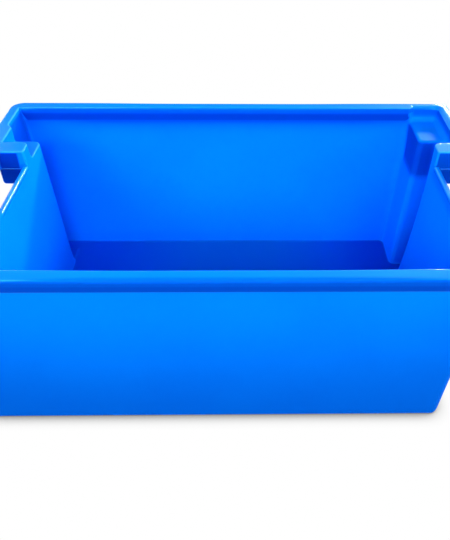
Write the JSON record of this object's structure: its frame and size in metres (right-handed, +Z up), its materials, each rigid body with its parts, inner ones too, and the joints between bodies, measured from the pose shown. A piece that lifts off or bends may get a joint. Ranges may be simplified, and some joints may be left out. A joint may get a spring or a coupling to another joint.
{
  "type": "stack and nest crate",
  "caption": "Solid-walled plastic harvest crate that stacks when turned end for end and nests the same way round, with corner trays, set-back hand grips and a bevelled rim.",
  "frame": {"origin": "middle of the underside, on the surface that the crate stands on", "axes": "+X along the length towards the end with the corner columns, +Y to the rear, +Z up"},
  "size_m": [0.645, 0.413, 0.24],
  "materials": {
    "blue_plastic": "satin moulded polyethylene"
  },
  "bodies": {
    "root": {"base_pad": "blue_plastic", "base_panel": "blue_plastic", "front_left_corner_foot": "blue_plastic", "front_left_grip_deck": "blue_plastic", "front_left_nest_stop": "blue_plastic", "front_left_rim_corner": "blue_plastic", "front_left_tray": "blue_plastic", "front_right_column": "blue_plastic", "front_right_fin": "blue_plastic", "front_right_grip_deck": "blue_plastic", "front_right_nest_stop": "blue_plastic", "front_right_rim_corner": "blue_plastic", "front_right_tray": "blue_plastic", "front_rim": "blue_plastic", "front_rim_bead": "blue_plastic", "front_wall": "blue_plastic", "left_grip_bar": "blue_plastic", "left_grip_lip": "blue_plastic", "left_grip_wall": "blue_plastic", "rear_left_corner_foot": "blue_plastic", "rear_left_grip_deck": "blue_plastic", "rear_left_nest_stop": "blue_plastic", "rear_left_rim_corner": "blue_plastic", "rear_left_tray": "blue_plastic", "rear_right_column": "blue_plastic", "rear_right_fin": "blue_plastic", "rear_right_grip_deck": "blue_plastic", "rear_right_nest_stop": "blue_plastic", "rear_right_rim_corner": "blue_plastic", "rear_right_tray": "blue_plastic", "rear_rim": "blue_plastic", "rear_rim_bead": "blue_plastic", "rear_wall": "blue_plastic", "right_grip_bar": "blue_plastic", "right_grip_lip": "blue_plastic", "right_grip_wall": "blue_plastic"}
  },
  "joints": []
}
